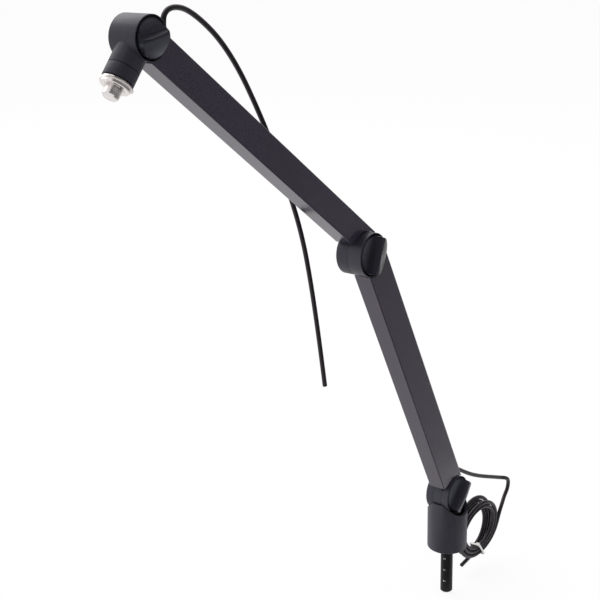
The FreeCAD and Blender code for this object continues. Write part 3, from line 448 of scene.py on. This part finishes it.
def nylon(name, colour):
    """Translucent-looking white nylon with a soft sheen."""
    finish = Finish(name)
    slow = finish.noise(finish.place, 180)
    finish.set(Base_Color=finish.mottled(finish.spread(slow, 0.0, 1.0), colour, 0.93, 1.0),
               Roughness=finish.spread(slow, 0.35, 0.48), Subsurface_Weight=0.1, Subsurface_Scale=0.001)
    return finish.material


FINISHES = {}


def finish_for(node):
    """A solid's own finish, or else the one of its slot in the record."""
    return FINISHES[node if node in FINISHES else SLOTS[node]]


def wear(piece, material):
    piece.data.materials.clear()
    piece.data.materials.append(material)


class BOOM_OT_finishes(bpy.types.Operator):
    """Make the finishes and put them on the solids"""

    bl_idname = "boom.finishes"
    bl_label = "Finishes"

    def execute(self, context):
        tone = colours()
        FINISHES.update({
            "lower_tube": anodised("anodised_lower_tube", tone.tube, LOWER_LEAN),
            "upper_tube": anodised("anodised_upper_tube", tone.tube, UPPER_LEAN),
            "joint_metal": satin_turned("charcoal_joint", tone.joint, "Y"),
            "base_cup": satin_turned("charcoal_cup", tone.joint, "Z"),
            "head_housing": satin_turned("charcoal_head", tone.joint, "Y", gloss=1.46),
            "swivel_sleeve": satin_turned("charcoal_sleeve", tone.joint, "Y", lines_share=0.1, gloss=1.41),
            "black_plastic": moulded("moulded_black", (0.016, 0.016, 0.018)),
            "fastener_steel": plated("dark_zinc_steel", (0.3, 0.3, 0.31), rough=(0.25, 0.4)),
            "bearing_brass": plated("turned_brass", (0.62, 0.46, 0.2), rough=(0.2, 0.35)),
            "friction_plastic": moulded("pale_friction_plastic", (0.7, 0.69, 0.64)),
            "bright_nickel": plated("bright_nickel", tone.nickel, rough=(0.2, 0.3), metallic=0.88),
            "black_steel": blackened_spigot("blackened_spigot", tone.spigot, (0.75, 0.73, 0.71)),
            "lead_jacket": jacket("lead_jacket", tone.lead),
            "white_nylon": nylon("white_nylon", tone.tie),
        })
        # Each knob's finish carries painted shade and painted highlight across its fin, from FINS
        for node, (centre, turn, shine) in FINS.items():
            low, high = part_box(node)
            fin = (centre, (high.x - low.x) / 2, turn, shine)
            FINISHES[node] = moulded("moulded_" + node, tone.knob, fin=fin)
        for node, piece in NODES.items():
            wear(piece, finish_for(node))
        return {"FINISHED"}


# Mesh helpers
def linked(name, data):
    piece = bpy.data.objects.new(name, data)
    bpy.context.scene.collection.objects.link(piece)
    return piece


def plain_mesh(piece):
    """The piece with its modifiers made real, as a mesh of its own."""
    view = bpy.context.evaluated_depsgraph_get()
    return bpy.data.meshes.new_from_object(piece.evaluated_get(view), depsgraph=view)


def made_plain(piece):
    """Swaps a piece's mesh for the one that its modifiers make."""
    mesh = plain_mesh(piece)
    old = piece.data
    piece.modifiers.clear()
    piece.data = mesh
    bpy.data.meshes.remove(old)


def smoothed(piece, angle):
    """Smooth shading that breaks at edges sharper than the angle."""
    piece.data.shade_smooth()
    piece.data.set_sharp_from_angle(angle=math.radians(angle))


def merged_copy(node):
    """A copy of a solid's mesh with its triangles joined up and its flat faces made whole."""
    mesh = NODES[node].data.copy()
    shape = bmesh.new()
    shape.from_mesh(mesh)
    bmesh.ops.remove_doubles(shape, verts=shape.verts, dist=1e-6)
    bmesh.ops.dissolve_limit(shape, angle_limit=math.radians(0.4), verts=shape.verts, edges=shape.edges)
    shape.to_mesh(mesh)
    shape.free()
    return mesh


def softened(node, width, body, segments=3, angle=32.0):
    """Stands for a solid with its sharp edges rounded."""
    piece = linked(node + "_rounded", merged_copy(node))
    edges = piece.modifiers.new("edges", "BEVEL")
    edges.width = width
    edges.segments = segments
    edges.limit_method = "ANGLE"
    edges.angle_limit = math.radians(angle)
    edges.use_clamp_overlap = True
    made_plain(piece)
    smoothed(piece, 35.0)
    wear(piece, finish_for(node))
    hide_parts(node)
    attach(piece, body)


class BOOM_OT_joints(bpy.types.Operator):
    """Round the edges of the cup, the joint drums, the head and the sleeve"""

    bl_idname = "boom.joints"
    bl_label = "Joint edges"

    def execute(self, context):
        width = sizes().edge_round
        for node, body in (("base_cup", "turret"), ("base_fork", "turret"),
                           ("elbow_near_knuckle", "lower_arm"), ("elbow_far_knuckle", "upper_arm"),
                           ("head_housing", "head"), ("swivel_sleeve", "mic_swivel")):
            softened(node, width, body)
        return {"FINISHED"}


class BOOM_OT_knobs(bpy.types.Operator):
    """Round the fins of the three clamp knobs"""

    bl_idname = "boom.knobs"
    bl_label = "Clamp knobs"

    def execute(self, context):
        for node in FINS:
            softened(node, sizes().fin_round, node, segments=4, angle=24.0)
        return {"FINISHED"}


# Leads
def route_curve(name, points):
    """The route as a smooth line with the points as its controls."""
    data = bpy.data.curves.new(name, "CURVE")
    data.dimensions = "3D"
    data.resolution_u = 8
    line = data.splines.new("NURBS")
    line.points.add(len(points) - 1)
    for control, place in zip(line.points, points):
        control.co = (*place, 1.0)
    line.order_u = 3
    line.use_endpoint_u = True
    return data


def outlet_points(axis, lean, place, turn, reach):
    """Where a lead leaves its arm, and the end of its straight way out."""
    along, across, off = place
    start = axis + Vector((along * math.cos(lean) - off * math.sin(lean), across,
                           along * math.sin(lean) + off * math.cos(lean)))
    way = lean + math.radians(turn)
    return [start, start + Vector((math.cos(way), 0, math.sin(way))) * reach]


def upper_points():
    return outlet_points(ELBOW_AXIS, UPPER_LEAN, *UPPER_OUTLET) + [Vector(p) for p in UPPER_ROUTE]


def coil_place(turn):
    """Place on the coil after so many degrees: in loops, a step to the far layer, out loops."""
    winds = (turn if turn < COIL_HALF else 2 * COIL_HALF - turn) / 360.0
    radius = COIL_RADIUS - COIL_SPACING * winds
    climb = min(max((turn - COIL_HALF + COIL_STEP / 2) / COIL_STEP, 0.0), 1.0)
    lift = (1 - math.cos(math.pi * climb)) / 2
    angle = math.radians(turn + COIL_START)
    fan = COIL_FAN * lift * (1 - math.cos(angle - math.radians(COIL_FAN_START))) / 2
    across = -radius * math.cos(angle)
    up = -radius * math.sin(angle)
    back = COIL_SPACING * lift + fan - COIL_LEAN_UP * up + COIL_LEAN_ACROSS * across
    return COIL_CENTRE + Vector((across, -back, up))


def coil_heading(turn):
    return (coil_place(turn + 0.5) - coil_place(turn - 0.5)).normalized()


def lower_points():
    outlet = outlet_points(BASE_AXIS, LOWER_LEAN, *LOWER_OUTLET)
    before = [coil_place(0) - coil_heading(0) * COIL_ENTRY]
    count = round(COIL_END / 360.0 * sizes().coil_points)
    loops = [coil_place(COIL_END * i / count) for i in range(count + 1)]
    tail = [loops[-1] + coil_heading(COIL_END) * COIL_LEAVING, Vector(COIL_TAIL)]
    return outlet + [Vector(p) for p in LOWER_ROUTE] + before + loops + tail


def line_points(data):
    """Points read along the smooth line."""
    holder = linked("line_reader", data)
    mesh = plain_mesh(holder)
    points = [v.co.copy() for v in mesh.vertices]
    bpy.data.objects.remove(holder)
    bpy.data.meshes.remove(mesh)
    return points


def tube_tree():
    """Sweeps a round section along a line, with caps."""
    tube = ShapeTree("lead_tube", Radius="Float")
    line = tube.add("GeometryNodeMeshToCurve", Mesh=tube.given["Geometry"])
    section = tube.add("GeometryNodeCurvePrimitiveCircle", Resolution=20, Radius=tube.given["Radius"])
    swept = tube.add("GeometryNodeCurveToMesh", Curve=line.outputs["Curve"],
                     Profile_Curve=section.outputs["Curve"], Fill_Caps=True)
    smooth = tube.add("GeometryNodeSetShadeSmooth", Geometry=swept.outputs["Mesh"])
    return tube.ended(smooth.outputs["Geometry"])


def fed(piece, tree, **values):
    """Puts a tree on a piece, sets its named inputs and makes the result a plain mesh."""
    modifier = piece.modifiers.new(tree.name, "NODES")
    modifier.node_group = tree
    for item in tree.interface.items_tree:
        if item.item_type == "SOCKET" and item.in_out == "INPUT" and item.name in values:
            modifier[item.identifier] = values[item.name]
    made_plain(piece)


class BOOM_OT_upper_lead(bpy.types.Operator):
    """Hang the upper lead behind the upper arm"""

    bl_idname = "boom.upper_lead"
    bl_label = "Upper lead"

    def execute(self, context):
        points = upper_points()
        data = route_curve("upper_lead_line", points)
        data.bevel_depth = sizes().lead_diameter / 2
        data.bevel_resolution = 6
        data.use_fill_caps = True
        piece = linked("upper_lead_cable", data)
        wear(piece, FINISHES["lead_jacket"])
        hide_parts("upper_lead")
        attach(piece, "upper_arm")
        return {"FINISHED"}


class BOOM_OT_lower_lead(bpy.types.Operator):
    """Lead out the lower lead and wind its coil"""

    bl_idname = "boom.lower_lead"
    bl_label = "Lower lead and coil"

    def execute(self, context):
        points = lower_points()
        path = line_points(route_curve("lower_lead_line", points))
        mesh = bpy.data.meshes.new("lower_lead_path")
        mesh.from_pydata(path, [(i, i + 1) for i in range(len(path) - 1)], [])
        piece = linked("lower_lead_cable", mesh)
        fed(piece, tube_tree(), Radius=sizes().lead_diameter / 2, Material=FINISHES["lead_jacket"])
        wear(piece, FINISHES["lead_jacket"])
        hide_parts("lower_lead", "lower_coil")
        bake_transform(piece)
        return {"FINISHED"}


# Ring and stud
def turned_shape(name, outline, steps=96, bored=True):
    """Closed turned shape about Z from an outline of (radius, height), with a bore or with flat ends."""
    shape = bmesh.new()
    angles = [2 * math.pi * i / steps for i in range(steps)]
    rows = [[shape.verts.new((radius * math.cos(angle), radius * math.sin(angle), height))
             for angle in angles] for radius, height in outline]
    for first, second in zip(rows, rows[1:] + (rows[:1] if bored else [])):
        for i in range(steps):
            shape.faces.new((first[i], first[(i + 1) % steps], second[(i + 1) % steps], second[i]))
    if not bored:
        shape.faces.new(rows[0])
        shape.faces.new(rows[-1])
    bmesh.ops.recalc_face_normals(shape, faces=shape.faces)
    mesh = bpy.data.meshes.new(name)
    shape.to_mesh(mesh)
    shape.free()
    return mesh


def stud_frame():
    """Turns Z onto the stud's direction, from the head's axis."""
    return Matrix.Translation(HEAD_CENTRE) @ STUD_DIRECTION.to_track_quat("Z", "Y").to_matrix().to_4x4()


def stud_span(node):
    """Nearest and farthest distance of a solid from the head's axis along the stud."""
    reach = [(v.co - HEAD_CENTRE).dot(STUD_DIRECTION) for v in NODES[node].data.vertices]
    return min(reach), max(reach)


def knurl_tree():
    """Stands ribs round a ring."""
    knurl = ShapeTree("knurl", Count="Int", Radius="Float", Depth="Float", Height="Float", Middle="Float")
    given = knurl.given
    ring = knurl.add("GeometryNodeMeshCircle", Vertices=given["Count"], Radius=given["Radius"])
    shift = knurl.add("ShaderNodeCombineXYZ", Z=given["Middle"])
    raised = knurl.add("GeometryNodeSetPosition", Geometry=ring.outputs["Mesh"],
                       Offset=shift.outputs["Vector"])
    rib = knurl.add("GeometryNodeMeshCylinder", Vertices=6, Radius=given["Depth"], Depth=given["Height"])
    place = knurl.add("GeometryNodeInputPosition")
    outward = knurl.add("FunctionNodeAlignRotationToVector", axis="X", Vector=place.outputs["Position"])
    stood = knurl.add("GeometryNodeInstanceOnPoints", Points=raised.outputs["Geometry"],
                      Instance=rib.outputs["Mesh"], Rotation=outward.outputs["Rotation"])
    return knurl.ended(given["Geometry"], stood.outputs["Instances"])


def thread_tree():
    """Winds a ridge round a stud."""
    thread = ShapeTree("thread", Turns="Float", Radius="Float", Length="Float", Start="Float", Ridge="Float")
    given = thread.given
    helix = thread.add("GeometryNodeCurveSpiral", Resolution=48, Rotations=given["Turns"],
                       Start_Radius=given["Radius"], End_Radius=given["Radius"], Height=given["Length"])
    section = thread.add("GeometryNodeCurvePrimitiveCircle", Resolution=6, Radius=given["Ridge"])
    swept = thread.add("GeometryNodeCurveToMesh", Curve=helix.outputs["Curve"],
                       Profile_Curve=section.outputs["Curve"], Fill_Caps=True)
    shift = thread.add("ShaderNodeCombineXYZ", Z=given["Start"])
    moved = thread.add("GeometryNodeTransform", Geometry=swept.outputs["Mesh"],
                       Translation=shift.outputs["Vector"])
    return thread.ended(given["Geometry"], moved.outputs["Geometry"])


class BOOM_OT_lock_ring(bpy.types.Operator):
    """Turn the knurled ring that locks a microphone clip"""

    bl_idname = "boom.lock_ring"
    bl_label = "Lock ring"

    def execute(self, context):
        top, bottom = stud_span("lock_ring")
        depth = sizes().knurl_depth
        outer = RING_RADIUS - depth
        outline = [(RING_BORE, top + RING_LIP), (RING_BORE + RING_LIP, top), (outer - RING_SHOULDER, top),
                   (outer, top + RING_LIP), (outer, bottom - RING_LIP), (outer - RING_SHOULDER, bottom),
                   (RING_BORE + RING_LIP, bottom), (RING_BORE, bottom - RING_LIP)]
        piece = linked("lock_ring_knurled", turned_shape("lock_ring_turned", outline))
        fed(piece, knurl_tree(), Count=sizes().knurl_count, Radius=outer, Depth=depth,
            Height=(bottom - top) - 2.2 * RING_LIP, Middle=(top + bottom) / 2,
            Material=FINISHES["bright_nickel"])
        piece.data.transform(stud_frame())
        smoothed(piece, 30.0)
        wear(piece, FINISHES["bright_nickel"])
        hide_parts("lock_ring")
        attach(piece, "lock_ring")
        return {"FINISHED"}


class BOOM_OT_stud(bpy.types.Operator):
    """Cut the thread on the stud that carries the microphone"""

    bl_idname = "boom.stud"
    bl_label = "Threaded stud"

    def execute(self, context):
        start, end = stud_span("mic_stud")
        ring_end = stud_span("lock_ring")[1]
        core = STUD_RADIUS - STUD_RIDGE
        groove = start + STUD_GROOVE
        neck = ring_end + STUD_NECK_LENGTH
        outline = [(STUD_SHANK, start), (STUD_SHANK, groove), (STUD_FLANGE, groove),
                   (STUD_FLANGE, ring_end - STUD_EDGE), (STUD_FLANGE - STUD_EDGE, ring_end),
                   (STUD_NECK, ring_end), (STUD_NECK, neck), (core, neck + STUD_EDGE)]
        outline += [(core - inward, end - back) for inward, back in STUD_TIP] + [(STUD_FACE, end)]
        piece = linked("mic_stud_threaded", turned_shape("mic_stud_turned", outline, bored=False))
        length = end - THREAD_END - ring_end - THREAD_START
        fed(piece, thread_tree(), Turns=length / sizes().thread_pitch, Radius=core, Length=length,
            Start=ring_end + THREAD_START, Ridge=STUD_RIDGE, Material=FINISHES["bright_nickel"])
        piece.data.transform(stud_frame())
        smoothed(piece, 40.0)
        wear(piece, FINISHES["bright_nickel"])
        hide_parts("mic_stud")
        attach(piece, "mic_swivel")
        return {"FINISHED"}


# Stage and camera
def seen_or_mirrored(nodes):
    """One for what is seen straight, in a reflection or through glass, and nought for other light."""
    light = nodes.add("ShaderNodeLightPath").outputs
    seen = light["Is Camera Ray"]
    for name in ("Is Glossy Ray", "Is Transmission Ray"):
        seen = nodes.sums("MAXIMUM", seen, light[name])
    return seen


def lit_white(name, shine):
    """White for the camera and in reflections; otherwise a pale surface that takes the shadow."""
    material = bpy.data.materials.new(name)
    material.use_nodes = True
    nodes = Nodes(material.node_tree)
    nodes.tree.nodes.clear()
    paper = nodes.add("ShaderNodeBsdfDiffuse", Color=(0.92, 0.92, 0.92, 1.0))
    glow = nodes.add("ShaderNodeEmission", Strength=1.0)
    mixed = nodes.add("ShaderNodeMixShader", Fac=nodes.sums("MULTIPLY", seen_or_mirrored(nodes), shine))
    nodes.give(mixed.inputs[1], paper.outputs["BSDF"])
    nodes.give(mixed.inputs[2], glow.outputs["Emission"])
    nodes.add("ShaderNodeOutputMaterial", Surface=mixed.outputs["Shader"])
    return material


def graded_card(name, low, high, foot, head):
    """Card that shades from its foot to its head, for the reflections in what faces it."""
    finish = Finish(name)
    height = finish.add("ShaderNodeSeparateXYZ", Vector=finish.place).outputs["Z"]
    grade = finish.spread(height, 0.0, 1.0, low, high)
    shade = finish.blend(grade, (foot, foot, foot, 1.0), (head, head, head, 1.0))
    finish.set(Base_Color=shade, Roughness=0.9)
    return finish.material


def plane(name, corners, material):
    mesh = bpy.data.meshes.new(name)
    mesh.from_pydata(corners, [], [tuple(range(len(corners)))])
    piece = linked(name, mesh)
    wear(piece, material)
    return piece


def soft_lamp(name, place, aim, size, power):
    data = bpy.data.lights.new(name, "AREA")
    data.shape = "DISK"
    data.size = size
    data.energy = power
    lamp = linked(name, data)
    lamp.location = place
    lamp.rotation_mode = "QUATERNION"
    lamp.rotation_quaternion = (Vector(aim) - Vector(place)).to_track_quat("-Z", "Y")


def photo_camera():
    yaw, pitch, roll = (math.radians(angle) for angle in CAMERA_TURNS)
    ahead = Vector((math.cos(yaw) * math.cos(pitch), math.sin(yaw) * math.cos(pitch), -math.sin(pitch)))
    right = Vector((math.sin(yaw), -math.cos(yaw), 0))
    up = right.cross(ahead)
    turned_right = right * math.cos(roll) + up * math.sin(roll)
    turned_up = up * math.cos(roll) - right * math.sin(roll)
    data = bpy.data.cameras.new("photo_camera")
    data.lens = CAMERA_LENS
    data.sensor_width = 36.0
    data.clip_end = 100.0
    camera = linked("photo_camera", data)
    camera.matrix_world = Matrix.Translation(CAMERA_PLACE) @ Matrix(
        (turned_right, turned_up, -ahead)).transposed().to_4x4()
    bpy.context.scene.camera = camera


def studio_cards(floor_height):
    """Cards that only show in reflections: name, corners, graded heights, and tone at the foot and head."""
    left, right, out, middle, top = -2.6, 0.7, 0.22, 0.74, 2.4
    side = [(left, floor_height), (right, floor_height), (right, middle), (left, middle)]
    above = [(left, middle), (right, middle), (right, top), (left, top)]
    beside = [(-0.1, 0.03), (right, 0.03), (right, 0.5), (0.15, 0.5), (0.07, 0.42), (-0.03, 0.33)]
    front = [(2.36, 0.57, 0.1), (1.14, 2.15, 0.1), (1.14, 2.15, 4.2), (2.36, 0.57, 4.2)]
    foot = [(0.121, -0.108), (1.84, 1.22), (1.64, 1.47), (-0.074, 0.145)]
    return (
        ("side_card", [(x, out, z) for x, z in side], 0.0, 0.55, 0.38, 0.15),
        ("above_card", [(x, out, z) for x, z in above], middle, 0.9, 0.12, 0.03),
        ("beside_card", [(x, out - 0.001, z) for x, z in beside], 0.0, 0.5, 0.04, 0.03),
        ("front_card", front, 0.1, 2.4, 0.065, 0.04),
        ("foot_card", [(x, y, floor_height + 0.0005) for x, y in foot], -0.1, 0.1, 0.325, 0.28),
    )


class BOOM_OT_stage(bpy.types.Operator):
    """Set the floor, the lamp, the cards, the world and the camera"""

    bl_idname = "boom.stage"
    bl_label = "Stage"

    def execute(self, context):
        floor_height = CAD_LOW.z - 0.001
        reach = 40.0
        square = ((-reach, -reach), (reach, -reach), (reach, reach), (-reach, reach))
        plane("floor", [(x, y, floor_height) for x, y in square], lit_white("white_floor", 0.9))
        world = bpy.data.worlds.new("studio")
        context.scene.world = world
        world.use_nodes = True
        nodes = Nodes(world.node_tree)
        sky = world.node_tree.nodes["Background"]
        nodes.give(sky.inputs["Color"], (1.0, 1.0, 1.0, 1.0))
        nodes.give(sky.inputs["Strength"], nodes.spread(seen_or_mirrored(nodes), SKY_LIGHT, 1.0, 0.0, 1.0))
        soft_lamp("key_lamp", place=(-0.3, -2.4, 3.0), aim=(0.2, 0, 0.3), size=4.0, power=70)
        for name, corners, low, high, foot, head in studio_cards(floor_height):
            card = plane(name, corners, graded_card(name + "_face", low, high, foot, head))
            for kind in ("camera", "diffuse", "shadow"):
                setattr(card, "visible_" + kind, False)
        context.scene.view_settings.view_transform = "Standard"
        photo_camera()
        return {"FINISHED"}


class BOOM_PT_panel(bpy.types.Panel):
    """Lists the steps that dress the boom arm"""

    bl_idname = "BOOM_PT_panel"
    bl_label = "Boom Arm"
    bl_space_type = "VIEW_3D"
    bl_region_type = "UI"
    bl_category = "Boom Arm"

    def draw(self, context):
        column = self.layout.column()
        for group in (context.scene.boom_sizes, context.scene.boom_colours):
            for name in group.bl_rna.properties.keys():
                if name not in ("rna_type", "name"):
                    column.prop(group, name)
        for operator in OPERATORS:
            column.operator(operator.bl_idname)


OPERATORS = (BOOM_OT_finishes, BOOM_OT_joints, BOOM_OT_knobs, BOOM_OT_upper_lead, BOOM_OT_lower_lead,
             BOOM_OT_lock_ring, BOOM_OT_stud, BOOM_OT_stage)
CLASSES = (BoomSizes, BoomColours) + OPERATORS + (BOOM_PT_panel,)


def register():
    for each in CLASSES:
        bpy.utils.register_class(each)
    bpy.types.Scene.boom_sizes = PointerProperty(type=BoomSizes)
    bpy.types.Scene.boom_colours = PointerProperty(type=BoomColours)


def unregister():
    del bpy.types.Scene.boom_colours
    del bpy.types.Scene.boom_sizes
    for each in reversed(CLASSES):
        bpy.utils.unregister_class(each)


def main():
    register()
    bpy.ops.boom.finishes()
    bpy.ops.boom.joints()
    bpy.ops.boom.knobs()
    bpy.ops.boom.upper_lead()
    bpy.ops.boom.lower_lead()
    bpy.ops.boom.lock_ring()
    bpy.ops.boom.stud()
    bpy.ops.boom.stage()


if __name__ == "__main__":
    main()
